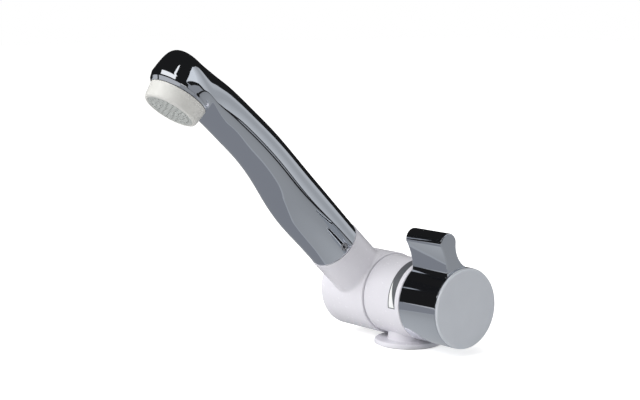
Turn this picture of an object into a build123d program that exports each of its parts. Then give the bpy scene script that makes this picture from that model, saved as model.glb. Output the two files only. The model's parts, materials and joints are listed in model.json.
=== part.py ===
from build123d import *
import os
from math import acos, asin, cos, degrees, pi, radians, sin

# A folding single lever mixer tap for a small sink. A horizontal barrel stands on a round foot
# that is clamped through the worktop. The plated spout rides on a swivelling elbow at the left
# end of the barrel and folds down about the barrel's own axis. The lever is a sleeve with a
# finger tab that turns about the same axis at the right end.
# Millimetres. The origin is the centre of the foot on the worktop, +Z is up, +X runs along the
# barrel towards the lever, and the spout reaches towards the front, -Y.

os.makedirs("parts", exist_ok=True)

# Barrel and foot
barrel_radius = 21.3
barrel_lift = 4.2           # underside of the barrel above the worktop
barrel_left = -12.75
barrel_right = 14.9
barrel_wall = 2.3
stem_radius = 11.1
stem_bore = 9.3             # room for both inlet tails
flange_radius = 18.5
flange_bottom = 0.4         # the seal stands this far proud of the flange
flange_thickness = 2.2
flange_edge = 1.0
stem_blend = 0.7
barrel_edge = 0.5
over = 1.0                  # how far a cut runs past the face that it opens

# Fixing through the worktop
collar_radius = 13.4        # centres the tap in a 27 mm hole
collar_depth = 2.0
shank_radius = 12.9         # M26 thread, modelled at its outside
shank_length = 40.0
seal_inner = 15.0
seal_outer = 17.6
seal_thickness = 1.4
worktop_space = 20.0        # between the seal and the clamping gasket as delivered
gasket_radius = 18.0
gasket_thickness = 2.5
washer_radius = 17.5
washer_thickness = 1.5
nut_across_flats = 36.0
nut_thickness = 8.0
nut_corner_drop = 1.5       # height of the turned corners
nut_corner_reach = 2.6      # how far the corners stand out past the flats
thread_clearance = 0.05

# Inlet tails
tail_radius = 4.0
tail_wall = 1.0
tail_x = -2.0
tail_spread = 4.4           # half the distance between the tails inside the shank
tail_spread_low = 8.4       # half the distance where the hoses go on
tail_bend_radius = 8.0
tail_bend_start = 43.0      # below the worktop
tail_stub = 22.0            # straight end for the hose
tail_drop = 8.45            # top of each pipe below the port that it feeds
tail_chamfer = 0.5

# Valve body
core_clearance = 0.15
core_left_setback = 0.3
core_neck_step = 1.05       # the neck is this much smaller than the core
core_neck_right = 20.0
pocket_floor = 3.0
nut_seat_x = 12.7
neck_wall = 1.4             # neck wall outside the cartridge nut's thread
inlet_drilling = 2.6
outlet_drilling = 2.8
inlet_port_z = -4.0
outlet_port_z = 5.0
pivot_radius = 8.5
pivot_left = -41.0
pivot_bore = 4.5
pivot_bore_left = -31.0
pivot_bore_right = -8.0
cross_drilling = 3.15       # from the pivot's bore out to its channel
channel_radius = 6.8
channel_width = 8.0
ring_offset = 7.9           # pivot O-rings either side of the spout plane
ring_width = 2.4
ring_depth = 1.8
screw_radius = 1.95
screw_hole = 2.0
screw_hole_spare = 1.0      # hole left below the end of a screw

# Cartridge
base_seal_thickness = 1.0
base_seal_setback = 0.5     # the seal is this much smaller than its pocket
disc_thickness = 3.0
fixed_disc_clearance = 0.1
moving_disc_clearance = 0.5
disc_gap = 0.02
port_radius = 2.4
drive_plate_clearance = 0.7
drive_plate_thickness = 2.0
spindle_radius = 5.0
spindle_right = 30.3
spindle_chamfer = 0.6
chamber_half_angle = 50.0   # of the kidney shaped mixing chamber
running_clearance = 0.05
cavity_radius = 11.5
cavity_right = 12.3
housing_radius = 14.0
housing_clearance = 0.1
housing_shoulder = 12.6
housing_upper_radius = 11.9
housing_upper_right = 15.2
housing_neck_radius = 8.0
housing_right = 22.0
cartridge_nut_clearance = 0.2
cartridge_nut_flats = 28.0
cartridge_nut_right = 24.2

# Spout carrier, the swivelling elbow
seam_gap = 0.3
carrier_step = 1.0          # the drum stands this proud of the barrel
carrier_left = -49.2
carrier_wall = 2.3
carrier_edge = 3.0
carrier_lip = 0.6
spout_plane = -28.4         # the spout's own plane across the barrel
spout_angle = 43.65         # raised spout above the horizontal
stub_radius = 14.9
stub_end = 40.3
stub_blend = 2.0
spigot_radius = 13.2
spigot_end = 58.0
neck_radius = 9.55
neck_bore = 6.0
neck_end = 62.0
block_clearance = 0.15
block_right = -14.2
thrust_ring_radius = 17.0
thrust_gap = 0.05
cap_recess_radius = 12.2
pivot_end_play = 0.1
retainer_radius = 11.5
retainer_thickness = 1.2
screw_head_radius = 4.2
screw_head_height = 2.2
screw_socket = 1.5
screw_socket_depth = 1.4
pivot_cap_radius = 12.0
pivot_cap_thickness = 2.0
pivot_cap_edge = 0.5
pivot_screw_length = 8.0
spout_ring_station = 54.0

# Spout, in its own plane: s runs out from the barrel axis, t is square to it, upwards
spout_start = 40.5
spout_root_radius = 14.55
spout_wall = 1.6
# the tube beyond its root as (s, t of the upper line, radius)
tube_line = (
    (56.0, 15.0, 14.65),
    (71.5, 15.45, 14.8),
    (87.0, 15.95, 14.05),
    (102.5, 16.55, 12.7),
    (118.0, 16.7, 11.9),
    (133.5, 16.0, 11.6),
    (149.0, 15.1, 11.2),
)
crown_slope = -0.06         # of the upper line where the head begins
root_bore = 13.3
root_bore_end = 63.0
outlet_s = 169.9            # centre of the outlet face
outlet_t = -8.35
outlet_lean = 7.18          # outlet axis against the spout's own square
outlet_radius = 15.4
outlet_bore = 12.7
outlet_bore_depth = 9.0
head_bore = 10.0
head_bore_depth = 15.5
# the head's sections fan out from its heel, behind the outlet, to its crown; (s, t) pairs
head_crown = ((160.4, 13.3), (170.5, 11.7), (179.6, 10.5), (185.2, 9.0), (188.2, 1.2), (188.2, -5.8))
head_heel = ((152.2, -5.8), (154.6, -6.25))
head_half_width = 16.85
head_steps = 8              # sections over the head, one more than this, in two halves
grub_station = 44.0
grub_angle = 100.0          # round the spout from its top, towards the lever
grub_radius = 2.0
grub_length = 4.0
grub_socket = 1.1
grub_tip = 10.1             # inner end of the screw from the spout's centre line
grub_socket_depth = 0.8

# Aerator
cup_gap = 0.35
cup_top_radius = 15.3
cup_waist_radius = 14.6
cup_waist_depth = 6.0
cup_bottom_radius = 14.2
cup_depth = 8.5
cup_edge = 1.3
cup_bore = 12.5
cup_neck_radius = 12.6
cup_neck_bore = 10.6
cup_neck_height = 7.0
cup_floor = 2.4             # depth of the recess that holds the grid
grid_radius = 12.4
grid_thickness = 1.6
grid_hole = 0.6
grid_set_in = 0.15
grid_pitch = 2.6            # from one ring of holes to the next
grid_ring_count = 4         # rings round the middle hole
ring_step_count = 6         # more holes in each ring than in the one inside it
screen_radius = 10.5
screen_thickness = 1.2
screen_hole = 0.8
screen_pitch = 3.4
screen_ring_count = 2
aerator_seal_thickness = 1.5

# Lever
sleeve_step = 0.1           # the sleeve stands this proud of the barrel
sleeve_left = 15.2
sleeve_right = 42.6
sleeve_wall = 2.4
sleeve_edge = 0.5
web_left = 27.0
web_right = 30.5
hub_radius = 11.0
hub_left = 25.0
adapter_radius = 8.0
adapter_left = 23.5
cap_pocket_wall = 3.8
cap_seat_wall = 2.0
cap_seat_depth = 0.8
lever_screw_head = 6.5
lever_screw_head_height = 3.0
lever_screw_length = 9.5
end_cap_setback = 0.2       # the cap is this much smaller than the sleeve
end_cap_left = 43.0
end_cap_rim = 1.0
end_cap_dome = 1.3
end_cap_edge = 0.5
end_cap_skirt_wall = 1.5
end_cap_skirt_left = 36.0
tab_left = 15.4
tab_right = 42.0
tab_edge = 0.7
# the tab's outline as pairs: y, and the height above the top of the sleeve
tab_foot = (-13.4, -5.6)    # end of the hollow foot, just inside the sleeve
tab_root = (-12.1, 0.4)
tab_front_middle = (-13.2, 5.0)
tab_front = (-16.8, 12.6)   # where the front meets the crown
tab_crown = (-11.4, 18.95)
tab_back = (-5.9, 14.1)
tab_back_middle = (-4.5, 6.2)
tab_heel = (2.2, -0.12)

# Scale let into the barrel
scale_x = 9.3
scale_width = 5.2
scale_start = 0.0           # degrees from the top towards the front
scale_end = 97.5
scale_depth = 0.5
scale_set_in = 0.1
wedge_tip = 58.0
wedge_end = 96.0
wedge_margin = 0.6
wedge_depth = 0.2

# Places worked out from the sizes above
axis_height = barrel_radius + barrel_lift
flange_top = flange_bottom + flange_thickness
core_radius = barrel_radius - barrel_wall - core_clearance
core_neck_radius = core_radius - core_neck_step
nut_bore = core_neck_radius - neck_wall
pocket_radius = housing_radius + housing_clearance
tail_seat = inlet_port_z - tail_drop
core_left = barrel_left + core_left_setback
carrier_right = barrel_left - seam_gap
carrier_radius = barrel_radius + carrier_step
carrier_bore = carrier_radius - carrier_wall
base_seal_radius = pocket_radius - base_seal_setback
fixed_disc_radius = cavity_radius - fixed_disc_clearance
moving_disc_radius = cavity_radius - moving_disc_clearance
drive_plate_radius = cavity_radius - drive_plate_clearance
cartridge_nut_bore = housing_upper_radius + cartridge_nut_clearance
disc_left = pocket_floor + base_seal_thickness
moving_left = disc_left + disc_thickness + disc_gap
plate_left = moving_left + disc_thickness
block_left = carrier_left + carrier_wall
retainer_floor = pivot_left + pivot_end_play
gasket_top = -worktop_space
washer_top = gasket_top - gasket_thickness
nut_top = washer_top - washer_thickness
sleeve_radius = barrel_radius + sleeve_step
cap_pocket_radius = sleeve_radius - cap_pocket_wall
cap_seat_radius = sleeve_radius - cap_seat_wall
end_cap_radius = sleeve_radius - end_cap_setback

on_axis = Pos(0, 0, axis_height)
raised = on_axis * Rot(X=-spout_angle)


def turned(*profile):
    """Solid turned about X from corners given as (along, radius)."""
    return revolve(make_face(Polyline(*profile, close=True)), Axis.X)


def rod(radius, start, end):
    """Round bar on the X axis between two stations."""
    return Pos((start + end) / 2, 0, 0) * Rot(Y=90) * Cylinder(radius, abs(end - start))


def tube(outer, inner, start, end):
    return rod(outer, start, end) - rod(inner, min(start, end) - over, max(start, end) + over)


def upright(shape):
    """Stand a shape made along X on end: its +X becomes +Z."""
    return Rot(Y=-90) * shape


def along_spout(radius, start, end):
    """Round bar on the spout's root axis, in the carrier's unraised frame."""
    return Pos(spout_plane, -(start + end) / 2, 0) * Rot(X=90) * Cylinder(radius, end - start)


def hexagon(across_flats, start, end):
    """Six sided bar on the X axis."""
    face = RegularPolygon(across_flats / 2, 6, major_radius=False)
    return Pos(start, 0, 0) * Rot(Y=90) * extrude(face, end - start)


def hole_rings(pitch, ring_count, radius, start, end):
    """Round holes along X: one in the middle and evenly spaced rings round it."""
    holes = [rod(radius, start, end)]
    for ring in range(1, ring_count + 1):
        count = ring * ring_step_count
        for i in range(count):
            turn = 2 * pi * i / count
            place = Pos(0, ring * pitch * cos(turn), ring * pitch * sin(turn))
            holes.append(place * rod(radius, start, end))
    return holes


def body_shell():
    barrel = on_axis * rod(barrel_radius, barrel_left, barrel_right)
    barrel = fillet(barrel.edges().filter_by(GeomType.CIRCLE), barrel_edge)
    flange = upright(rod(flange_radius, flange_bottom, flange_top))
    flange = fillet(flange.edges().group_by(Axis.Z)[-1], flange_edge)
    stem = upright(rod(stem_radius, flange_top, axis_height))
    foot = flange + stem
    root = foot.edges().filter_by(GeomType.CIRCLE).filter_by(
        lambda e: abs(e.center().Z - flange_top) < 0.01 and abs(e.radius - stem_radius) < 0.01
    )
    foot = fillet(root, stem_blend)
    collar = upright(rod(collar_radius, flange_bottom, -collar_depth))
    shank = upright(rod(shank_radius, -shank_length, -collar_depth))
    shell = barrel + foot + collar + shank
    shell -= on_axis * rod(core_radius + core_clearance, barrel_left - over, barrel_right + over)
    shell -= upright(rod(stem_bore, -shank_length - over, axis_height))
    shell -= upright(tube(seal_outer, seal_inner, -over, seal_thickness))
    shell -= on_axis * scale_band(barrel_radius - scale_depth, barrel_radius + over)
    return shell


def scale_band(inner, outer, margin=0.0):
    """Band bent round the barrel from scale_start to scale_end."""
    half = scale_width / 2 - margin
    profile = Plane.XZ * Pos(scale_x, (inner + outer) / 2) * Rectangle(2 * half, outer - inner)
    return Rot(X=scale_start) * revolve(profile, Axis.X, scale_end - scale_start)


def wedge_block(grow=0.0):
    """Prism over the pointer field, wide at the low end of the scale."""
    middle = (wedge_tip + wedge_end) / 2
    reach = barrel_radius * sin(radians((wedge_end - wedge_tip) / 2))
    left = scale_x - scale_width / 2 + wedge_margin - grow
    right = scale_x + scale_width / 2 - wedge_margin + grow
    low = -reach - grow
    field = make_face(Polyline((left, reach + grow), (left, low), (right, low), close=True))
    return Rot(X=middle) * extrude(field, barrel_radius + over)


def indicator_scale():
    strip = scale_band(barrel_radius - scale_depth, barrel_radius - scale_set_in)
    floor = barrel_radius - scale_set_in - wedge_depth
    return on_axis * (strip - (wedge_block() - rod(floor, 0, 2 * scale_x)))


def indicator_wedge():
    floor = barrel_radius - scale_set_in - wedge_depth
    band = scale_band(floor, barrel_radius - scale_set_in)
    return on_axis * (band & wedge_block())


def valve_body():
    core = turned(
        (pivot_left, 0),
        (pivot_left, pivot_radius),
        (core_left, pivot_radius),
        (core_left, core_radius),
        (barrel_right - core_left_setback, core_radius),
        (barrel_right - core_left_setback, core_neck_radius),
        (core_neck_right, core_neck_radius),
        (core_neck_right, nut_bore),
        (nut_seat_x, nut_bore),
        (nut_seat_x, pocket_radius),
        (pocket_floor, pocket_radius),
        (pocket_floor, 0),
    )
    core -= rod(pivot_bore, pivot_bore_left, pivot_bore_right)
    half = channel_width / 2
    core -= tube(pivot_radius + over, channel_radius, spout_plane - half, spout_plane + half)
    drilling = Rot(X=90) * Cylinder(cross_drilling, 2 * pivot_radius)
    core -= Rot(X=-spout_angle) * Pos(spout_plane, 0, 0) * drilling
    for side in (-1, 1):
        at = spout_plane + side * ring_offset
        half = ring_width / 2
        core -= tube(pivot_radius + over, pivot_radius - ring_depth, at - half, at + half)
    core -= rod(screw_hole, pivot_left - over, pivot_left + pivot_screw_length)
    core -= Pos(0, 0, outlet_port_z) * rod(outlet_drilling, pivot_bore_right - over, pocket_floor + over)
    for side in (-1, 1):
        y = side * tail_spread
        low = -core_radius - over
        core -= Pos(0, y, inlet_port_z) * rod(inlet_drilling, tail_x, pocket_floor + over)
        core -= Pos(tail_x, y, 0) * upright(rod(tail_radius - tail_wall, low, inlet_port_z))
        core -= Pos(tail_x, y, 0) * upright(rod(tail_radius + thread_clearance, low, tail_seat))
    return on_axis * core


def deck_seal():
    return upright(tube(seal_outer, seal_inner, 0, seal_thickness))


def clamp_gasket():
    return upright(
        tube(gasket_radius, shank_radius + thread_clearance, gasket_top - gasket_thickness, gasket_top)
    )


def clamp_washer():
    return upright(
        tube(washer_radius, shank_radius + thread_clearance, washer_top - washer_thickness, washer_top)
    )


def mounting_nut():
    low = nut_top - nut_thickness
    corners = nut_across_flats / 2 + nut_corner_reach
    outside = turned(
        (low, 0),
        (low, nut_across_flats / 2),
        (low + nut_corner_drop, corners),
        (nut_top, corners),
        (nut_top, 0),
    )
    nut = hexagon(nut_across_flats, low, nut_top) & outside
    return upright(nut - rod(shank_radius + thread_clearance, low - over, nut_top + over))


def inlet_tail(side):
    """Rigid pipe from its socket in the valve body down through the shank, set outwards below it."""
    top = axis_height + tail_seat
    # two equal arcs carry the pipe across by the step
    step = tail_spread_low - tail_spread
    swing = acos(1 - step / (2 * tail_bend_radius))
    drop = 2 * tail_bend_radius * sin(swing)
    low = -tail_bend_start - drop

    def pipe(radius):
        upper = upright(rod(radius, -tail_bend_start, top))
        lower = Pos(0, side * step, 0) * upright(rod(radius, low - tail_stub, low))
        first_centre = Axis((0, side * tail_bend_radius, -tail_bend_start), (side, 0, 0))
        last_centre = Axis((0, side * (step - tail_bend_radius), low), (side, 0, 0))
        first = revolve(Pos(0, 0, -tail_bend_start) * Circle(radius), first_centre, degrees(swing))
        last = revolve(Pos(0, side * step, low) * Circle(radius), last_centre, degrees(swing))
        return upper + first + last + lower

    outside = pipe(tail_radius)
    outside = chamfer(outside.edges().group_by(Axis.Z)[0], tail_chamfer)
    return Pos(tail_x, side * tail_spread, 0) * (outside - pipe(tail_radius - tail_wall))


def pivot_o_rings():
    rings = []
    for side in (-1, 1):
        at = spout_plane + side * ring_offset
        half = ring_width / 2 - thread_clearance
        ring = tube(pivot_radius, pivot_radius - ring_depth, at - half, at + half)
        rings.append(on_axis * fillet(ring.edges(), half / 2))
    return Compound(children=rings)


def thrust_ring():
    return on_axis * tube(
        thrust_ring_radius, pivot_radius + running_clearance, block_right + thrust_gap, core_left
    )


def pivot_washer():
    return on_axis * tube(
        retainer_radius, screw_radius + running_clearance, pivot_left - retainer_thickness, pivot_left
    )


def pivot_screw():
    face = pivot_left - retainer_thickness
    head = face - screw_head_height
    screw = rod(screw_radius, face, pivot_left + pivot_screw_length - screw_hole_spare)
    screw += rod(screw_head_radius, head, face)
    screw -= hexagon(2 * screw_socket, head - over, head + screw_socket_depth)
    return on_axis * screw


def ported(shape, radius, start, end):
    """Cut the two inlet ports and the outlet port through a disc."""
    for y, z in ((-tail_spread, inlet_port_z), (tail_spread, inlet_port_z), (0, outlet_port_z)):
        shape -= Pos(0, y, z) * rod(radius, start - over, end + over)
    return shape


def cartridge_seal():
    end = pocket_floor + base_seal_thickness
    return on_axis * ported(rod(base_seal_radius, pocket_floor, end), inlet_drilling, pocket_floor, end)


def fixed_disc():
    end = disc_left + disc_thickness
    return on_axis * ported(rod(fixed_disc_radius, disc_left, end), port_radius, disc_left, end)


def moving_disc():
    """Upper ceramic disc with a kidney shaped mixing chamber in its sealing face."""
    disc = rod(moving_disc_radius, moving_left, plate_left)
    chamber = Plane.XZ * Pos(moving_left, 0) * Pos(0, outlet_port_z) * Rectangle(
        disc_thickness, 2 * port_radius
    )
    disc -= Rot(X=-chamber_half_angle) * revolve(chamber, Axis.X, 2 * chamber_half_angle)
    return on_axis * disc


def spindle():
    """Drive plate and shaft, tapped for the lever screw."""
    plate_right = plate_left + drive_plate_thickness
    shaft = turned(
        (plate_left, 0),
        (plate_left, drive_plate_radius),
        (plate_right, drive_plate_radius),
        (plate_right, spindle_radius),
        (spindle_right - spindle_chamfer, spindle_radius),
        (spindle_right, spindle_radius - spindle_chamfer),
        (spindle_right, 0),
    )
    shaft -= rod(screw_hole, spindle_right - lever_screw_length, spindle_right + over)
    return on_axis * shaft


def cartridge_housing():
    return on_axis * turned(
        (disc_left, cavity_radius),
        (disc_left, housing_radius),
        (housing_shoulder, housing_radius),
        (housing_shoulder, housing_upper_radius),
        (housing_upper_right, housing_upper_radius),
        (housing_upper_right, housing_neck_radius),
        (housing_right, housing_neck_radius),
        (housing_right, spindle_radius + running_clearance),
        (cavity_right, spindle_radius + running_clearance),
        (cavity_right, cavity_radius),
    )


def cartridge_nut():
    """Ring nut that clamps the cartridge into its pocket."""
    start = nut_seat_x + running_clearance
    shoulder = core_neck_right + running_clearance
    nut = rod(nut_bore - thread_clearance, start, shoulder)
    nut += hexagon(cartridge_nut_flats, shoulder, cartridge_nut_right)
    return on_axis * (nut - rod(cartridge_nut_bore, start - over, cartridge_nut_right + over))


def carrier_shell():
    """Moulded elbow: a drum on the barrel axis with the spout socket standing out of it."""
    drum = rod(carrier_radius, carrier_left, carrier_right)
    ends = drum.edges().filter_by(GeomType.CIRCLE).sort_by(Axis.X)
    drum = fillet(ends[0], carrier_edge)
    drum = fillet(drum.edges().filter_by(GeomType.CIRCLE).sort_by(Axis.X)[-1], carrier_lip)
    shell = drum + along_spout(stub_radius, 0, stub_end)
    saddle = shell.edges().filter_by(
        lambda e: e.geom_type not in (GeomType.CIRCLE, GeomType.LINE)
    )
    shell = fillet(saddle, stub_blend)
    shell += along_spout(spigot_radius, stub_end, spigot_end)
    shell -= rod(carrier_bore, carrier_left + carrier_wall, carrier_right + over)
    shell -= rod(pivot_cap_radius, carrier_left - over, carrier_right)
    shell -= along_spout(neck_radius + block_clearance, 0, spigot_end + over)
    half = ring_width / 2
    groove = along_spout(spigot_radius + over, spout_ring_station - half, spout_ring_station + half)
    groove -= along_spout(spigot_radius - ring_depth, 0, spigot_end)
    shell -= groove
    shell -= grub_hole()
    return raised * shell


def swivel_block():
    """Inner elbow that runs on the pivot and leads the water up into the spout."""
    block = rod(carrier_bore - block_clearance, block_left, block_right)
    block += along_spout(neck_radius, 0, neck_end)
    block -= along_spout(neck_bore, 0, neck_end + over)
    block -= rod(pivot_radius + running_clearance, block_left - over, block_right + over)
    block -= rod(cap_recess_radius, block_left - over, retainer_floor)
    return raised * block


def pivot_cap():
    cap = rod(pivot_cap_radius - running_clearance, carrier_left, carrier_left + pivot_cap_thickness)
    cap = fillet(cap.edges().sort_by(Axis.X)[0], pivot_cap_edge)
    return raised * cap


def spout_o_ring():
    half = ring_width / 2 - thread_clearance
    ring = along_spout(root_bore, spout_ring_station - half, spout_ring_station + half)
    ring -= along_spout(spigot_radius - ring_depth, spout_start, spigot_end)
    return raised * fillet(ring.edges(), half / 2)


def grub_place(shape):
    """Turn a shape made along +Z to the grub screw's place on the spout's root."""
    return Pos(spout_plane, -grub_station, 0) * Rot(Y=grub_angle) * shape


def grub_hole():
    depth = spout_root_radius - grub_tip
    return grub_place(Pos(0, 0, grub_tip + depth) * Cylinder(grub_radius, 2 * depth))


def grub_screw():
    screw = Pos(0, 0, grub_tip + grub_length / 2) * Cylinder(grub_radius - thread_clearance, grub_length)
    screw -= Pos(0, 0, grub_tip + grub_length - grub_socket_depth) * extrude(
        RegularPolygon(grub_socket, 6), grub_length
    )
    return raised * grub_place(screw)


def ease(x):
    """Smooth step from 0 to 1."""
    x = min(max(x, 0.0), 1.0)
    return x * x * (3 - 2 * x)


def tube_section(s, top, radius):
    """Lowest point, highest point and half width of the round spout tube at a station."""
    return (s, top - 2 * radius), (s, top), radius


def spout_section(low, high, half_width, wall=0.0):
    """Elliptical face between two points of the spout's plane."""
    low, high = Vector(0, -low[0], low[1]), Vector(0, -high[0], high[1])
    rise = high - low
    middle = (low + high) * 0.5 + Vector(spout_plane, 0, 0)
    plane = Plane(origin=middle, x_dir=(1, 0, 0), z_dir=Vector(1, 0, 0).cross(rise))
    across, along = half_width - wall, rise.length / 2 - wall
    # two halves from the top point, so that every section starts at the same place
    left = EllipticalCenterArc((0, 0), across, along, 90, arc_size=180)
    right = EllipticalCenterArc((0, 0), across, along, 270, arc_size=180)
    return plane * make_face([left, right])


def head_sections(count):
    """The domed head as sections that turn from square to the spout down to the outlet's rim."""
    low, high, radius = tube_section(*tube_line[-1])
    crown = Spline(high, *head_crown, tangents=((1, crown_slope), (0, -1)))
    heel = ThreePointArc(low, *head_heel)
    sections = []
    for i in range(count + 1):
        part = i / count
        start, end = heel @ part, crown @ part
        width = radius + (head_half_width - radius) * ease(part)
        sections.append(((start.X, start.Y), (end.X, end.Y), width))
    return sections


def lofted(sections, wall=0.0, ruled=False):
    return loft([spout_section(*each, wall=wall) for each in sections], ruled=ruled)


def spout_tube():
    """Plated spout: flared root, bowed tube and a domed head that carries the outlet."""
    root = (spout_start, spout_root_radius, spout_root_radius)
    tube_part = [tube_section(*each) for each in (root, *tube_line)]
    head_part = head_sections(head_steps)
    half = head_steps // 2
    reach = outlet_radius * cos(radians(outlet_lean))
    fall = outlet_radius * sin(radians(outlet_lean))
    rim = ((outlet_s - reach, outlet_t + fall), (outlet_s + reach, outlet_t - fall), outlet_radius)
    spout = lofted(tube_part) + lofted(head_part[: half + 1]) + lofted(head_part[half:])
    spout += lofted([head_part[-1], rim], ruled=True)
    inner = [each for each in tube_part if each[0][0] > root_bore_end]
    spout -= lofted(inner, spout_wall) + lofted(head_part[: half + 1], spout_wall)
    spout -= along_spout(root_bore, spout_start - over, inner[0][0][0])
    spout -= unlean(rod(outlet_bore, -outlet_bore_depth, over))
    spout -= unlean(rod(head_bore, -head_bore_depth, 0))
    return raised * (spout - grub_hole())


def unlean(shape):
    """Place a shape made along the outlet axis, with +X the way the water leaves."""
    return Pos(spout_plane, -outlet_s, outlet_t) * Rot(X=outlet_lean) * Rot(Y=90) * shape


def aerator_cup():
    cup = turned(
        (-cup_neck_height, cup_neck_bore),
        (-cup_neck_height, cup_neck_radius),
        (cup_gap, cup_neck_radius),
        (cup_gap, cup_top_radius),
        (cup_waist_depth, cup_waist_radius),
        (cup_depth, cup_bottom_radius),
        (cup_depth, cup_bore),
        (cup_depth - cup_floor, cup_bore),
        (cup_depth - cup_floor, cup_neck_bore),
    )
    rim = cup.edges().filter_by(GeomType.CIRCLE).group_by(Axis.X)[-1].sort_by(SortBy.RADIUS)[-1]
    return raised * unlean(fillet(rim, cup_edge))


def aerator_grid():
    """Spray face: a plate with rings of small holes."""
    end = cup_depth - grid_set_in
    start = end - grid_thickness
    holes = hole_rings(grid_pitch, grid_ring_count, grid_hole, start - over, end + over)
    return raised * unlean(rod(grid_radius, start, end) - holes)


def aerator_screen():
    end = cup_depth - cup_floor
    start = end - screen_thickness
    holes = hole_rings(screen_pitch, screen_ring_count, screen_hole, start - over, end + over)
    return raised * unlean(rod(screen_radius, start, end) - holes)


def aerator_seal():
    start = -outlet_bore_depth
    return raised * unlean(
        tube(cup_neck_radius, cup_neck_bore, start, start + aerator_seal_thickness)
    )


def lever_tab():
    """Finger tab: one leaning outline carried along the sleeve, closed inside its wall."""
    named = (tab_foot, tab_root, tab_front_middle, tab_front, tab_crown, tab_back, tab_back_middle, tab_heel)
    foot, root, front_middle, front_end, crown, back, back_middle, heel = [
        (y, sleeve_radius + rise) for y, rise in named
    ]
    heel_depth = (heel[0], sleeve_radius - sleeve_wall / 2)
    front = ThreePointArc(root, front_middle, front_end)
    outline = [
        TangentArc(root, foot, tangent=(front % 0) * -1),
        front,
        ThreePointArc(front_end, crown, back),
        ThreePointArc(back, back_middle, heel),
        Line(heel, heel_depth),
        Line(heel_depth, foot),
    ]
    tab = Plane.YZ.offset(tab_left) * extrude(make_face(outline), tab_right - tab_left)
    sides = tab.faces().filter_by(GeomType.PLANE).filter_by(lambda f: abs(f.normal_at().X) > 0.9)
    return fillet(sides.edges().filter_by(GeomType.CIRCLE), tab_edge)


def lever_sleeve():
    sleeve = rod(sleeve_radius, sleeve_left, sleeve_right)
    sleeve = fillet(sleeve.edges().filter_by(GeomType.CIRCLE), sleeve_edge)
    lever = sleeve + lever_tab()
    lever -= rod(sleeve_radius - sleeve_wall, sleeve_left - over, web_left)
    lever += tube(hub_radius, adapter_radius, hub_left, web_left)
    lever -= rod(adapter_radius, hub_left - over, web_right + over)
    lever -= rod(cap_pocket_radius, web_right, sleeve_right + over)
    lever -= rod(cap_seat_radius + running_clearance, sleeve_right - cap_seat_depth, sleeve_right + over)
    return on_axis * lever


def handle_adapter():
    """Splined bush between the spindle and the lever hub."""
    return on_axis * tube(adapter_radius, spindle_radius, adapter_left, web_right)


def lever_screw():
    end = web_right + lever_screw_head_height
    screw = rod(screw_radius, spindle_right - lever_screw_length + screw_hole_spare, web_right)
    screw += rod(lever_screw_head, web_right, end)
    screw -= hexagon(2 * screw_socket, end - screw_socket_depth, end + over)
    return on_axis * screw


def end_cap():
    """Domed disc with a skirt that presses into the sleeve."""
    rim_right = end_cap_left + end_cap_rim
    top = rim_right + end_cap_dome
    skirt = cap_pocket_radius - running_clearance
    skirt_bore = skirt - end_cap_skirt_wall
    seat = sleeve_right - cap_seat_depth
    dome_radius = (end_cap_radius ** 2 + end_cap_dome ** 2) / (2 * end_cap_dome)
    half_turn = asin(end_cap_radius / dome_radius) / 2
    dome_middle = (top - dome_radius * (1 - cos(half_turn)), dome_radius * sin(half_turn))
    outline = Polyline(
        (top, 0),
        (end_cap_left, 0),
        (end_cap_left, skirt_bore),
        (end_cap_skirt_left, skirt_bore),
        (end_cap_skirt_left, skirt),
        (seat, skirt),
        (seat, cap_seat_radius),
        (end_cap_left, cap_seat_radius),
        (end_cap_left, end_cap_radius),
        (rim_right, end_cap_radius),
    )
    dome = ThreePointArc((rim_right, end_cap_radius), dome_middle, (top, 0))
    cap = revolve(make_face([outline, dome]), Axis.X)
    rim = cap.edges().filter_by(lambda e: abs(e.center().X - rim_right) < 0.01)
    return on_axis * fillet(rim, end_cap_edge)


pieces = {
    "body_shell": body_shell,
    "indicator_scale": indicator_scale,
    "indicator_wedge": indicator_wedge,
    "valve_body": valve_body,
    "deck_seal": deck_seal,
    "clamp_gasket": clamp_gasket,
    "clamp_washer": clamp_washer,
    "mounting_nut": mounting_nut,
    "cold_inlet_tail": lambda: inlet_tail(-1),
    "hot_inlet_tail": lambda: inlet_tail(1),
    "pivot_o_rings": pivot_o_rings,
    "thrust_ring": thrust_ring,
    "pivot_washer": pivot_washer,
    "pivot_screw": pivot_screw,
    "cartridge_seal": cartridge_seal,
    "fixed_disc": fixed_disc,
    "cartridge_housing": cartridge_housing,
    "cartridge_nut": cartridge_nut,
    "carrier_shell": carrier_shell,
    "swivel_block": swivel_block,
    "pivot_cap": pivot_cap,
    "spout_tube": spout_tube,
    "spout_o_ring": spout_o_ring,
    "grub_screw": grub_screw,
    "aerator_cup": aerator_cup,
    "aerator_grid": aerator_grid,
    "aerator_screen": aerator_screen,
    "aerator_seal": aerator_seal,
    "lever_sleeve": lever_sleeve,
    "end_cap": end_cap,
    "handle_adapter": handle_adapter,
    "lever_screw": lever_screw,
    "spindle": spindle,
    "moving_disc": moving_disc,
}

for name, make in pieces.items():
    export_step(make(), os.path.join("parts", name + ".step"))
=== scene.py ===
import json

import bpy
import numpy as np
from mathutils import Matrix, Vector


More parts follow.
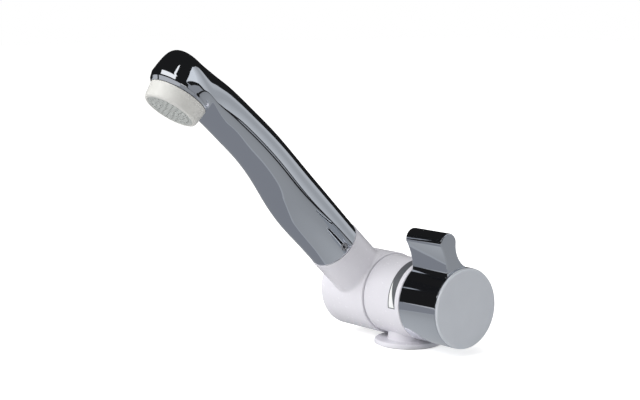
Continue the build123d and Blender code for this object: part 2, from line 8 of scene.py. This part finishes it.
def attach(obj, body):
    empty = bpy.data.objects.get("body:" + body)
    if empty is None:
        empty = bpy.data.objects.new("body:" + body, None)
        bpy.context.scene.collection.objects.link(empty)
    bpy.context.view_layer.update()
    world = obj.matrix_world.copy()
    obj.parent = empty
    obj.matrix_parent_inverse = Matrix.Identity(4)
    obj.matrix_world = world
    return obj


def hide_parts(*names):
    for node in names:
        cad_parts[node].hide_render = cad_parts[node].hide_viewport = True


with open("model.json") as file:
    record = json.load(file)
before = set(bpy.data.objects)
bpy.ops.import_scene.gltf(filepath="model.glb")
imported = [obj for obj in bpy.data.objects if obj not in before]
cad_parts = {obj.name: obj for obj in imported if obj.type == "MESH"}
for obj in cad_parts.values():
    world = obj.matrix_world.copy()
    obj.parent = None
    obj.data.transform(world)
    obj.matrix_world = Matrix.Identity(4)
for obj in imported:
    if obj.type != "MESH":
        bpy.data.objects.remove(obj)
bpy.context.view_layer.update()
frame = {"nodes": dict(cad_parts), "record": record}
nodes = frame["nodes"]

# A folding single lever mixer tap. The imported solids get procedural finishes, and two pieces stand in
# for their solids: the plated spout's skin and the satin cap. A studio of cards round the tap gives
# the mirror finishes what they reflect.
# The tap's sizes are in millimetres, as on the drawing, and become metres in the scene. Cards, sheets
# and lamps are placed in metres and degrees.
MM = 0.001
AXIS_HEIGHT = 25.5
SHARP_EDGE = np.radians(35.0)

# Spout, in its own plane: s runs out from the barrel's axis and t is square to it, upwards
SPOUT_PLANE = -28.4
SPOUT_ANGLE = np.radians(43.65)
ROOT_START = 40.5
ROOT_RADIUS = 14.55
ROOT_ROUND = 0.25
ROOT_ROUND_MIDDLE = 0.07    # how far the middle of the rim's round lies from both its faces
ROOT_BORE = 13.3
BORE_CHAMFER = 0.1
BORE_LENGTH = 20.5
BORE_END = (0.5, 2.2)       # the bore's end runs this far on, and this far inwards
# its sections as lowest and highest point, half width, and how far up they are widest
TUBE_LINE = (((ROOT_START, -ROOT_RADIUS), (ROOT_START, ROOT_RADIUS), ROOT_RADIUS, 0.5),
             ((56.0, -14.3), (56.0, 15.0), 14.65, 0.5), ((71.5, -14.2), (71.5, 15.5), 14.6, 0.478),
             ((87.0, -12.3), (87.0, 16.0), 14.2, 0.444), ((102.5, -8.9), (102.5, 16.6), 13.7, 0.409),
             ((118.0, -7.05), (118.0, 16.75), 13.35, 0.384), ((131.7, -7.1), (133.5, 16.0), 13.2, 0.38),
             ((141.9, -7.15), (149.0, 15.0), 13.3, 0.357))
# the head's half width and widest place, at even steps over it
HEAD_SPREAD = ((13.55, 0.345), (13.85, 0.335), (14.2, 0.325), (14.6, 0.322), (15.0, 0.331), (15.45, 0.385),
               (15.8, 0.468), (15.95, 0.5))
# the head's highest points, which run over the dome and down its front, and the slopes at their ends
HEAD_CROWN = ((160.4, 13.3), (170.5, 11.7), (179.6, 10.5), (185.2, 9.0), (188.2, 1.2), (188.2, -5.8))
CROWN_SLOPES = ((1, -0.05), (0, -1))
# its lowest points behind the outlet, and where they come on the way over the head
HEAD_HEEL = ((148.9, -7.0), (152.4, -6.5), (154.2, -6.25), (154.6, -6.25))
HEEL_PLACES = (0, 0.3, 0.55, 0.8, 1)
LIP_EDGE = ((154.55, -6.3), (187.0, -8.5), 15.95)
LIP_ROWS = 7
OUTLET_CENTRE = (169.9, -8.35)
OUTLET_LEAN = np.radians(7.18)
OUTLET_RADIUS = 15.4
OUTLET_CHAMFER = 0.12
OUTLET_BORE = 12.7
OUTLET_BORE_CHAMFER = 0.15
OUTLET_BORE_DEPTH = 9.0
# the grub screw's hole, and the part of the skin that is finely divided for it
GRUB_STATION = 44.0
GRUB_TURN = 100.0
GRUB_RADIUS = 2.0
GRUB_DEPTH = 0.9
GRUB_EDGE = (0.22, 0.34)    # the hole's rounded edge starts this far outside it, and is this wide
PATCH_LENGTH = 3.0          # to each side of the hole's middle
PATCH_TURN = 12.0
PATCH_ROWS, PATCH_COLUMNS, OTHER_COLUMNS = 49, 61, 170
TUBE_ROWS, HEAD_ROWS = 90, 90
TUBE_ROWS_START = 7.5

# Cap
CAP_LEFT = 43.0
CAP_RIM = 44.35
CAP_TOP = 45.3
CAP_RADIUS = 21.3
CAP_ROUND = 1.3
CAP_ROUND_TURN = 80.0       # degrees that the rim rounds over before the face starts
ROUND_POINTS, FACE_POINTS = 12, 24
CAP_SEAT = (41.8, 19.4)     # left side and radius of the step that seats in the sleeve
CAP_SKIRT_LEFT = 36.0
CAP_SKIRT_RADIUS = 17.55
CAP_SKIRT_BORE = 16.05

# Finishes
NOISE_RANGE = (0.3, 0.7)    # the noise mostly lies between these, which carry a finish's two ends
COLOUR_DETAIL = 4.0
GRAIN_DETAIL = 3.0

# Studio
CARD_DISTANCE = 3.0
TENT_DISTANCE = 3.4
DARK = (0.012, 0.012, 0.0125)
COOL_GREY = (0.965, 1.0, 1.045)     # tint of the cards whose tone runs from one grey to another
LAMP_TARGET = Vector((0, -0.03, 0.06))
FLOOR_REACH = 6.0
FLOOR_TONE = 0.80
FLOOR_LIFT = 0.60
ROOM_LEVEL = 0.55

# Camera, at the photograph's viewing angle
CAMERA_TURN = np.radians(50.73)
CAMERA_TILT = np.radians(7.46)
# how far the eye lies from the foot along the camera's own directions
CAMERA_LEFT, CAMERA_UP, CAMERA_BACK = 48.01, 77.26, 791.08
SENSOR_WIDTH = 36.0         # millimetres
FOCAL_LENGTH = 1455.5       # pixels of the photograph
PHOTO_WIDTH = 640           # pixels


# Shapes

def ease(x):
    """Smooth step: three times the square less twice the cube, held to the range 0 to 1."""
    x = np.clip(x, 0.0, 1.0)
    return x * x * (3 - 2 * x)


def lengths_along(points):
    """How far along a line of points each of them lies."""
    return np.r_[0, np.cumsum(np.linalg.norm(np.diff(points, axis=0), axis=1))]


def curve_through(stations, points, start_slope=None, end_slope=None):
    """Cubic spline: on each span the second derivative runs straight between its end values, and
    those are found from the rule that slopes agree where spans meet. Free ends have none."""
    stations, points = np.asarray(stations, float), np.asarray(points, float)
    span = np.diff(stations)
    slope = np.diff(points, axis=0) / span[:, None]
    count = len(stations)
    rows, right = np.eye(count), np.zeros_like(points)
    inner = np.arange(1, count - 1)
    rows[inner, inner - 1] = span[:-1]
    rows[inner, inner] = 2 * (span[:-1] + span[1:])
    rows[inner, inner + 1] = span[1:]
    right[1:-1] = 6 * np.diff(slope, axis=0)
    if start_slope is not None:
        rows[0, :2] = 2 * span[0], span[0]
        right[0] = 6 * (slope[0] - start_slope)
    if end_slope is not None:
        rows[-1, -2:] = span[-1], 2 * span[-1]
        right[-1] = 6 * (np.asarray(end_slope) - slope[-1])
    bend = np.linalg.solve(rows, right)

    def at(where):
        where = np.asarray(where, float)
        i = np.clip(np.searchsorted(stations, where) - 1, 0, count - 2)
        b = ((where - stations[i]) / span[i])[..., None]
        a = 1 - b
        bulge = ((a ** 3 - a) * bend[i] + (b ** 3 - b) * bend[i + 1]) * (span[i] ** 2)[..., None] / 6
        return a * points[i] + b * points[i + 1] + bulge
    return at


def put(name, data):
    """A new object of the scene."""
    piece = bpy.data.objects.new(name, data)
    bpy.context.scene.collection.objects.link(piece)
    return piece


def smooth_piece(name, corners, faces):
    """An object from corners in millimetres, smooth but for its sharp edges."""
    mesh = bpy.data.meshes.new(name)
    mesh.from_pydata((corners * MM).tolist(), [], faces)
    mesh.polygons.foreach_set("use_smooth", np.ones(len(mesh.polygons), bool))
    mesh.set_sharp_from_angle(angle=SHARP_EDGE)
    mesh.update()
    return put(name, mesh)


def ring_quads(rows, columns):
    """Corner numbers of the four sided faces of a grid whose columns run round and meet."""
    i = np.arange(rows - 1)[:, None] * columns
    j = np.arange(columns)[None, :]
    turn = (j + 1) % columns
    return np.stack([i + j, i + turn, i + columns + turn, i + columns + j], -1).reshape(-1, 4)


def outward_quads(grid):
    """The grid's faces, turned the right way out by the sign of its volume, which is a sixth of the
    sum of its corners' triple products."""
    quads = ring_quads(*grid.shape[:2])
    a, b, c, d = (grid.reshape(-1, 3)[quads[:, k]] for k in range(4))
    volume = (np.cross(a, b) * c).sum() + (np.cross(a, c) * d).sum()
    return quads if volume > 0 else quads[:, ::-1]


def ring(low, high, half_width, widest=0.5):
    """A ring of the spout as one row: lowest and highest point in its plane, half width, and how far
    up it is widest."""
    return np.array([*low, *high, half_width, widest])


def spout_sections():
    """The spout's sections as rings, from the root along the tube and over the head."""
    tube = np.array([ring(*section) for section in TUBE_LINE])
    crown = np.array([tube[-1, 2:4], *HEAD_CROWN])
    reach = lengths_along(crown)
    crown_at = curve_through(reach, crown, *CROWN_SLOPES)
    heel_at = curve_through(HEEL_PLACES, [tube[-1, 0:2], *HEAD_HEEL])
    step = np.linspace(0, 1, len(HEAD_SPREAD) + 1)[1:]
    head = np.concatenate([heel_at(step), crown_at(step * reach[-1]), HEAD_SPREAD], 1)
    return np.concatenate([tube, head])


def root_rings():
    """The root's bore from its inner end, and its rim, chamfered inside and rounded outside."""
    outline = ((BORE_LENGTH + BORE_END[0], ROOT_BORE - BORE_END[1]), (BORE_LENGTH, ROOT_BORE),
               (BORE_CHAMFER, ROOT_BORE), (0, ROOT_BORE + BORE_CHAMFER), (0, ROOT_RADIUS - ROOT_ROUND),
               (ROOT_ROUND_MIDDLE, ROOT_RADIUS - ROOT_ROUND_MIDDLE))
    return np.array([ring((ROOT_START + depth, -radius), (ROOT_START + depth, radius), radius)
                     for depth, radius in outline])


def outlet_ring(radius, depth):
    """A round ring about the outlet's axis, depth into the head."""
    along = np.array([np.cos(OUTLET_LEAN), -np.sin(OUTLET_LEAN)])
    inward = np.array([np.sin(OUTLET_LEAN), np.cos(OUTLET_LEAN)])
    centre = np.array(OUTLET_CENTRE) + inward * depth
    return ring(centre - along * radius, centre + along * radius, radius)


def lip_rings(last):
    """Straight bands from the skin's last ring to the lip's edge, and from there to the outlet."""
    edges = (last, ring(*LIP_EDGE), outlet_ring(OUTLET_RADIUS, OUTLET_CHAMFER))
    part = np.linspace(0, 1, LIP_ROWS)[1:, None]
    return np.concatenate([start * (1 - part) + end * part for start, end in zip(edges, edges[1:])])


def outlet_rings():
    """The outlet's flat face and its bore, each with its chamfer."""
    return np.array([outlet_ring(OUTLET_RADIUS - OUTLET_CHAMFER, 0.0),
                     outlet_ring(OUTLET_BORE + OUTLET_BORE_CHAMFER, 0.0),
                     outlet_ring(OUTLET_BORE, OUTLET_BORE_CHAMFER),
                     outlet_ring(OUTLET_BORE, OUTLET_BORE_DEPTH)])


def ring_points(rings, turn):
    """Half ellipses above and below each ring's widest place: that place, plus the way from it to
    the high or low point times the cosine of the turn, and the half width times its sine across the
    spout, all raised by the spout's angle."""
    low, high = rings[:, None, 0:2], rings[:, None, 2:4]
    width, widest = rings[:, 4, None], rings[:, 5, None, None]
    rise = np.cos(turn)[None, :, None]
    flat = low + (high - low) * (widest + np.where(rise > 0, (1 - widest) * rise, widest * rise))
    s, t = flat[..., 0], flat[..., 1]
    x = SPOUT_PLANE + width * np.sin(turn)
    y = t * np.sin(SPOUT_ANGLE) - s * np.cos(SPOUT_ANGLE)
    z = AXIS_HEIGHT + s * np.sin(SPOUT_ANGLE) + t * np.cos(SPOUT_ANGLE)
    return np.stack([x, y, z], -1)


def grub_hole(points, rings, station, turn):
    """The grub screw's hole as a round step in the skin: points within its radius move towards the
    spout's middle line by its depth, eased over a rounded edge."""
    middle = (rings[:, 0:2] + rings[:, 2:4]) / 2
    centre = ring_points(np.concatenate([middle, middle, 0 * middle], 1), turn)
    across = (turn - np.radians(GRUB_TURN)) * ROOT_RADIUS
    away = np.hypot(station[:, None] - GRUB_STATION, across[None, :])
    sink = GRUB_DEPTH * ease((GRUB_RADIUS + GRUB_EDGE[0] - away) / GRUB_EDGE[1])
    outward = points - centre
    outward /= np.linalg.norm(outward, axis=-1, keepdims=True)
    return points - outward * sink[..., None]


def spout_skin():
    """Plated spout: a spline through its sections, which ends in the root's rim and bore and in the
    lip and the outlet's bore, with the grub screw's hole near the root. It is open deep in both
    bores, out of sight behind the spout's O-ring and the spray cup."""
    sections = spout_sections()
    reach = lengths_along(sections[:, 2:4])
    tube_reach = reach[len(TUBE_LINE) - 1]
    patch_reach = GRUB_STATION - ROOT_START + np.linspace(-PATCH_LENGTH, PATCH_LENGTH, PATCH_ROWS)
    where = np.r_[ROOT_ROUND, patch_reach, np.linspace(TUBE_ROWS_START, tube_reach, TUBE_ROWS),
                  np.linspace(tube_reach, reach[-1], HEAD_ROWS)[1:]]
    skin = curve_through(reach, sections)(where)
    root = root_rings()
    rings = np.concatenate([root, skin, lip_rings(skin[-1]), outlet_rings()])
    near = np.linspace(GRUB_TURN - PATCH_TURN, GRUB_TURN + PATCH_TURN, PATCH_COLUMNS)
    far = np.linspace(GRUB_TURN + PATCH_TURN, GRUB_TURN - PATCH_TURN + 360, OTHER_COLUMNS)[1:-1]
    turn = np.radians(np.r_[near, far])
    points = ring_points(rings, turn)
    first = len(root) + 1
    patch = slice(first, first + PATCH_ROWS)
    points[patch] = grub_hole(points[patch], rings[patch], ROOT_START + patch_reach, turn)
    return smooth_piece("spout_skin", points.reshape(-1, 3), outward_quads(points).tolist())


def turned_piece(name, outline, count=256):
    """A solid turned about the barrel's axis from (along the axis, radius) points. The first and the
    last lie on the axis, where the faces meet in one point."""
    along, radius = np.array(outline).T
    turn = np.linspace(0, 2 * np.pi, count, endpoint=False)
    inner_along, inner_radius = along[1:-1, None], radius[1:-1, None]
    rings = np.stack([inner_along + 0 * turn, inner_radius * np.sin(turn),
                      AXIS_HEIGHT + inner_radius * np.cos(turn)], -1).reshape(-1, 3)
    poles = np.array([(along[0], 0, AXIS_HEIGHT), (along[-1], 0, AXIS_HEIGHT)])
    here = np.arange(count)
    beyond = (here + 1) % count
    last_ring = len(rings) - count
    first_fan = np.stack([here * 0 + len(rings), beyond, here], -1)
    last_fan = np.stack([here * 0 + len(rings) + 1, last_ring + here, last_ring + beyond], -1)
    quads = ring_quads(len(along) - 2, count)
    return smooth_piece(name, np.concatenate([rings, poles]),
                        [*quads.tolist(), *first_fan.tolist(), *last_fan.tolist()])


def domed_cap():
    """Satin cap: a skirt that presses into the sleeve, a short rim rounded over at its front, and a
    face that is part of a large sphere."""
    turn = np.radians(np.linspace(0, CAP_ROUND_TURN, ROUND_POINTS))
    edge = np.stack([CAP_RIM - CAP_ROUND + CAP_ROUND * np.sin(turn),
                     CAP_RADIUS - CAP_ROUND * (1 - np.cos(turn))], -1)
    face_start, face_radius = edge[-1]
    rise = CAP_TOP - face_start
    ball = (rise ** 2 + face_radius ** 2) / (2 * rise)
    radius = face_radius * np.linspace(1, 0, FACE_POINTS)[1:]
    face = np.stack([CAP_TOP - ball + np.sqrt(ball ** 2 - radius ** 2), radius], -1)
    seat_left, seat_radius = CAP_SEAT
    back = [(CAP_LEFT, 0.0), (CAP_LEFT, CAP_SKIRT_BORE), (CAP_SKIRT_LEFT, CAP_SKIRT_BORE),
            (CAP_SKIRT_LEFT, CAP_SKIRT_RADIUS), (seat_left, CAP_SKIRT_RADIUS), (seat_left, seat_radius),
            (CAP_LEFT, seat_radius), (CAP_LEFT, CAP_RADIUS)]
    return turned_piece("domed_cap", [*back, *edge.tolist(), *face.tolist()])


# Finishes

def noise(tree, place, scale, detail):
    """Noise in object space."""
    node = tree.nodes.new("ShaderNodeTexNoise")
    node.inputs["Scale"].default_value = scale
    node.inputs["Detail"].default_value = detail
    tree.links.new(place, node.inputs["Vector"])
    return node.outputs["Fac"]


def finish(name, colours, metallic, roughness, bump=None):
    """A material whose colour and roughness drift with noise in object space. Colours and roughness
    are given as two ends and the noise's scale, and bump as the grain's height in metres and its
    strength."""
    material = bpy.data.materials.new(name)
    material.use_nodes = True
    tree = material.node_tree
    shader = tree.nodes["Principled BSDF"]
    shader.inputs["Metallic"].default_value = metallic
    place = tree.nodes.new("ShaderNodeTexCoord").outputs["Object"]
    tones = tree.nodes.new("ShaderNodeValToRGB")
    for stop, position, colour in zip(tones.color_ramp.elements, NOISE_RANGE, colours):
        stop.position = position
        stop.color = (*colour, 1)
    tree.links.new(noise(tree, place, colours[2], COLOUR_DETAIL), tones.inputs["Fac"])
    tree.links.new(tones.outputs["Color"], shader.inputs["Base Color"])
    grain = noise(tree, place, roughness[2], GRAIN_DETAIL)
    spread = tree.nodes.new("ShaderNodeMapRange")
    limits = (*NOISE_RANGE, *roughness[:2])
    for socket, value in zip(("From Min", "From Max", "To Min", "To Max"), limits):
        spread.inputs[socket].default_value = value
    tree.links.new(grain, spread.inputs["Value"])
    tree.links.new(spread.outputs["Result"], shader.inputs["Roughness"])
    if bump:
        relief = tree.nodes.new("ShaderNodeBump")
        relief.inputs["Distance"].default_value, relief.inputs["Strength"].default_value = bump
        tree.links.new(grain, relief.inputs["Height"])
        tree.links.new(relief.outputs["Normal"], shader.inputs["Normal"])
    return material


# each material slot's colours, metallic, roughness and, where its grain shows, bump
LOOKS = {
    "white_shell": (((0.745, 0.735, 0.78), (0.765, 0.752, 0.80), 60), 0.0, (0.2, 0.28, 700), (0.00002, 0.15)),
    "bright_plate": (((0.80, 0.83, 0.88), (0.82, 0.845, 0.89), 40), 1.0, (0.03, 0.055, 300)),
    "satin_plate": (((0.72, 0.75, 0.80), (0.75, 0.78, 0.83), 90), 0.35, (0.30, 0.36, 900)),
    "scale_print": (((0.10, 0.105, 0.115), (0.12, 0.125, 0.135), 500), 0.0, (0.4, 0.5, 2000)),
    "pointer_white": (((0.85, 0.85, 0.85), (0.88, 0.88, 0.88), 500), 0.0, (0.3, 0.4, 2000)),
    "ivory_plastic": (((0.63, 0.63, 0.60), (0.66, 0.655, 0.63), 200), 0.0, (0.32, 0.42, 900), (0.00002, 0.2)),
    "grey_plastic": (((0.40, 0.42, 0.41), (0.55, 0.57, 0.55), 900), 0.0, (0.45, 0.6, 900), (0.00003, 0.3)),
    "bearing_plastic": (((0.80, 0.80, 0.76), (0.84, 0.84, 0.80), 300), 0.0, (0.4, 0.5, 900)),
    "valve_brass": (((0.70, 0.56, 0.28), (0.80, 0.66, 0.36), 250), 1.0, (0.22, 0.36, 900), (0.00003, 0.2)),
    "pipe_copper": (((0.62, 0.33, 0.20), (0.76, 0.45, 0.30), 180), 1.0, (0.2, 0.38, 700), (0.00003, 0.2)),
    "fastener_steel": (((0.52, 0.52, 0.53), (0.62, 0.62, 0.63), 500), 1.0, (0.25, 0.4, 1500), (0.00002, 0.2)),
    "disc_ceramic": (((0.80, 0.79, 0.75), (0.84, 0.83, 0.80), 300), 0.0, (0.08, 0.14, 900)),
    "seal_rubber": (((0.02, 0.02, 0.022), (0.045, 0.045, 0.047), 400), 0.0, (0.55, 0.7, 900), (0.00003, 0.4)),
}
FINISHES = {slot: finish(slot, *look) for slot, look in LOOKS.items()}

slots = {part["node"]: part["material_slot"] for part in frame["record"]["subparts"]}
for name, node in nodes.items():
    node.data.materials.clear()
    node.data.materials.append(FINISHES[slots[name]])


def fit(piece, body, slot, *replaced):
    """Dress a new piece, let it ride on its body and let it stand for the nodes it replaces."""
    piece.data.materials.append(FINISHES[slot])
    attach(piece, body)
    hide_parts(*replaced)


fit(spout_skin(), "spout_carrier", "bright_plate", "spout_tube")
fit(domed_cap(), "lever", "satin_plate", "end_cap")


# Studio

def glow(name, tones, along=None):
    """A luminous surface for the studio's cards. Its tone is plain, or runs through several that are
    given with their places: metres from the foot along "distance", or degrees of compass turn along
    "turn"."""
    material = bpy.data.materials.new(name)
    material.use_nodes = True
    tree = material.node_tree
    tree.nodes.clear()
    light = tree.nodes.new("ShaderNodeEmission")
    out = tree.nodes.new("ShaderNodeOutputMaterial")
    tree.links.new(light.outputs["Emission"], out.inputs["Surface"])
    if along is None:
        light.inputs["Color"].default_value = (*tones, 1)
        return material
    place = tree.nodes.new("ShaderNodeTexCoord").outputs["Object"]
    if along == "distance":
        length = tree.nodes.new("ShaderNodeVectorMath")
        length.operation = "LENGTH"
        tree.links.new(place, length.inputs[0])
        value, scale = length.outputs["Value"], 1.0
    else:
        axes = tree.nodes.new("ShaderNodeSeparateXYZ")
        tree.links.new(place, axes.inputs[0])
        turn = tree.nodes.new("ShaderNodeMath")
        turn.operation = "ARCTAN2"
        tree.links.new(axes.outputs["X"], turn.inputs[0])
        tree.links.new(axes.outputs["Y"], turn.inputs[1])
        value, scale = turn.outputs[0], np.pi / 180
    first, last = tones[0][0], tones[-1][0]
    spread = tree.nodes.new("ShaderNodeMapRange")
    spread.inputs["From Min"].default_value = first * scale
    spread.inputs["From Max"].default_value = last * scale
    tree.links.new(value, spread.inputs["Value"])
    ramp = tree.nodes.new("ShaderNodeValToRGB")
    stops = ramp.color_ramp.elements
    for position, _ in tones[1:-1]:
        stops.new((position - first) / (last - first))
    for stop, (_, tone) in zip(stops, tones):
        stop.color = (*(share * tone for share in COOL_GREY), 1)
    tree.links.new(spread.outputs["Result"], ramp.inputs["Fac"])
    tree.links.new(ramp.outputs["Color"], light.inputs["Color"])
    return material


def studio_piece(name, points, faces, material):
    """A piece of the studio, seen in reflections alone."""
    mesh = bpy.data.meshes.new(name)
    mesh.from_pydata(points, [], faces)
    mesh.materials.append(material)
    piece = put(name, mesh)
    for ray in ("camera", "diffuse", "transmission", "volume_scatter", "shadow"):
        setattr(piece, "visible_" + ray, False)


def card(name, lower, upper, tone, along=None, distance=CARD_DISTANCE, steps=48):
    """A card for the mirror finishes: the part of a sphere about the tap between two outlines, each
    given as compass turns and heights in degrees with straight runs between them."""
    lower, upper = np.array(lower, float), np.array(upper, float)
    turn = np.linspace(lower[0, 0], lower[-1, 0], steps)[:, None]
    part = np.linspace(0, 1, steps)[None, :]
    low = np.interp(turn, *lower.T)
    height = low + (np.interp(turn, *upper.T) - low) * part
    turn, height = np.radians(turn + 0 * part), np.radians(height)
    level = np.cos(height)
    points = distance * np.stack([np.sin(turn) * level, np.cos(turn) * level, np.sin(height)], -1)
    i, j = np.meshgrid(np.arange(steps - 1), np.arange(steps - 1), indexing="ij")
    first = (i * steps + j).ravel()
    faces = np.stack([first, first + 1, first + steps + 1, first + steps], -1)
    studio_piece(name, points.reshape(-1, 3).tolist(), faces.tolist(), glow(name, tone, along))


def sheet(name, outline, height, tone, along=None):
    """A flat sheet over the worktop: its outline in metres, counterclockwise, and its height."""
    corners = [(x, y, height) for x, y in outline]
    studio_piece(name, corners, [list(range(len(corners)))], glow(name, tone, along))


def sector(start, end, near, far, steps=40):
    """Outline of a part of a ring about the tap: compass turns in degrees, radii in metres."""
    turn = np.radians(np.linspace(end, start, steps))
    arc = np.stack([np.sin(turn), np.cos(turn)], -1)
    return [*(far * arc).tolist(), *(near * arc[::-1]).tolist()]


def disc(radius, steps=90):
    """Outline of a whole round about the tap."""
    turn = np.radians(np.linspace(180, -180, steps))
    return (radius * np.stack([np.sin(turn), np.cos(turn)], -1)).tolist()


card("dark_tent", [(-180, -4), (180, -4)], [(-180, 90), (180, 90)], DARK, distance=TENT_DISTANCE, steps=90)
card("light_wall", [(-8, -2), (38, -1), (46, 1), (50, 12), (56, 19), (73, 28), (90, 36)],
     [(-8, 12), (-6, 17), (-2, 21), (0, 30), (4, 37), (20, 46), (54, 53), (78, 48), (90, 38)],
     [(-14, 0.52), (8, 0.48), (15, 0.39), (26, 0.38), (34, 0.44), (44, 0.52), (54, 0.62), (60, 0.74),
      (100, 0.73)], "turn")
card("low_wall", [(-24, -3), (3, -6)], [(-24, 5), (3, 9.6)], (0.38, 0.40, 0.42))
card("grey_wall", [(47, -8), (100, -8)], [(47, -4), (52, 7), (56, 13), (73, 22), (90, 29), (100, 30)],
     (0.26, 0.27, 0.29))
card("low_lamp", [(158, 25), (175, 27), (200, 24), (217, 23)], [(158, 29), (175, 33), (200, 31), (217, 26)],
     (1.0, 1.0, 1.0))
card("high_lamp", [(138, 60), (146, 28), (158, 26)], [(138, 68), (150, 67), (158, 29)], (1.0, 1.0, 1.0))
card("edge_lamp", [(112, -3), (138, -3)], [(112, 8), (138, 8)], (1.0, 1.0, 1.0))
# the sheets lie a tenth or two of a millimetre over each other, the dark one at the bottom
sheet("dark_sheet", disc(3.6), 0.0004, DARK)
sheet("near_sheet", disc(0.45), 0.0006,
      [(0.0, 0.50), (0.03, 0.42), (0.06, 0.345), (0.1, 0.315), (0.2, 0.30), (0.45, 0.28)], "distance")
sheet("far_sheet", sector(-94, 141, near=0.44, far=1.0), 0.0007, [(0.45, 0.28), (1.0, 0.23)], "distance")
sheet("lip_sheet", sector(141, 223, near=0.44, far=1.5), 0.0007, (0.48, 0.49, 0.51))
sheet("edge_sheet", sector(229, 266, near=0.44, far=1.5), 0.0007, (0.48, 0.49, 0.51))
# painted shade: a darker sheet in front of the tap, seen in reflections alone, stands for shade on the
# worktop, with a narrow paler rim along its near edge
shade_edge = [(-0.060, -0.020), (-0.036, -0.055), (-0.028, -0.086), (0.006, -0.114), (0.063, -0.118),
              (0.120, -0.118)]
rim_edge = [(x + 0.003, y + 0.004) for x, y in shade_edge]
sheet("painted_shade_sheet", [(-0.42, -0.02), (-0.30, -0.32), (0.0, -0.44), (0.120, -0.40), *shade_edge[::-1]],
      0.0009, (0.225, 0.235, 0.26))
sheet("painted_shade_rim", [*shade_edge, *rim_edge[::-1]], 0.0010, (0.36, 0.375, 0.40))


def either(tree, *rays):
    """One value that is 1 where a ray is any of those named."""
    path = tree.nodes.new("ShaderNodeLightPath")
    total = path.outputs[rays[0]]
    for ray in rays[1:]:
        most = tree.nodes.new("ShaderNodeMath")
        most.operation = "MAXIMUM"
        tree.links.new(total, most.inputs[0])
        tree.links.new(path.outputs[ray], most.inputs[1])
        total = most.outputs[0]
    return total


def floor():
    """Pale floor: a plane at the worktop's height, lit as it is and lifted to white for the camera
    and in reflections."""
    material = bpy.data.materials.new("pale_floor")
    material.use_nodes = True
    tree = material.node_tree
    tree.nodes.clear()
    paint = tree.nodes.new("ShaderNodeBsdfDiffuse")
    paint.inputs["Color"].default_value = (FLOOR_TONE, FLOOR_TONE, FLOOR_TONE, 1)
    lift = tree.nodes.new("ShaderNodeEmission")
    part = tree.nodes.new("ShaderNodeMath")
    part.operation = "MULTIPLY"
    part.inputs[1].default_value = FLOOR_LIFT
    tree.links.new(either(tree, "Is Camera Ray", "Is Glossy Ray"), part.inputs[0])
    tree.links.new(part.outputs[0], lift.inputs["Strength"])
    both = tree.nodes.new("ShaderNodeAddShader")
    tree.links.new(paint.outputs[0], both.inputs[0])
    tree.links.new(lift.outputs[0], both.inputs[1])
    out = tree.nodes.new("ShaderNodeOutputMaterial")
    tree.links.new(both.outputs[0], out.inputs["Surface"])
    mesh = bpy.data.meshes.new("floor")
    reach = FLOOR_REACH
    mesh.from_pydata([(-reach, -reach, 0), (reach, -reach, 0), (reach, reach, 0), (-reach, reach, 0)], [],
                     [(0, 1, 2, 3)])
    mesh.materials.append(material)
    piece = put("floor", mesh)


def lamp(name, where, size, power):
    """A soft square lamp that faces the tap, in metres and watts, and isn't seen in reflections."""
    light = bpy.data.lights.new(name, "AREA")
    light.shape, light.size, light.energy = "SQUARE", size, power
    piece = put(name, light)
    piece.location = where
    piece.rotation_euler = (LAMP_TARGET - Vector(where)).to_track_quat("-Z", "Y").to_euler()
    piece.visible_glossy = False


def surroundings():
    """White for the camera and in reflections, and a soft even light on everything else."""
    world = bpy.data.worlds.new("studio")
    world.use_nodes = True
    bpy.context.scene.world = world
    tree = world.node_tree
    background = tree.nodes["Background"]
    background.inputs["Color"].default_value = (1, 1, 1, 1)
    level = tree.nodes.new("ShaderNodeMapRange")
    level.inputs["To Min"].default_value, level.inputs["To Max"].default_value = ROOM_LEVEL, 1.0
    clear = either(tree, "Is Camera Ray", "Is Glossy Ray", "Is Transmission Ray")
    tree.links.new(clear, level.inputs["Value"])
    tree.links.new(level.outputs["Result"], background.inputs["Strength"])


floor()
lamp("left_lamp", (-0.6, -1.4, 1.0), 1.0, 22)
lamp("top_lamp", (0.1, -0.1, 1.8), 1.4, 10)
surroundings()

# Camera
right = Vector((np.cos(CAMERA_TURN), np.sin(CAMERA_TURN), 0))
ahead = Vector((-np.sin(CAMERA_TURN) * np.cos(CAMERA_TILT), np.cos(CAMERA_TURN) * np.cos(CAMERA_TILT),
                -np.sin(CAMERA_TILT)))
upward = right.cross(ahead)
eye = (upward * CAMERA_UP - right * CAMERA_LEFT - ahead * CAMERA_BACK) * MM
camera = put("camera", bpy.data.cameras.new("camera"))
camera.data.sensor_width = SENSOR_WIDTH
camera.data.lens = FOCAL_LENGTH * SENSOR_WIDTH / PHOTO_WIDTH
camera.data.clip_start, camera.data.clip_end = 0.01, 100
camera.matrix_world = Matrix.Translation(eye) @ Matrix((right, upward, -ahead)).transposed().to_4x4()
bpy.context.scene.camera = camera
bpy.context.scene.view_settings.view_transform = "Standard"
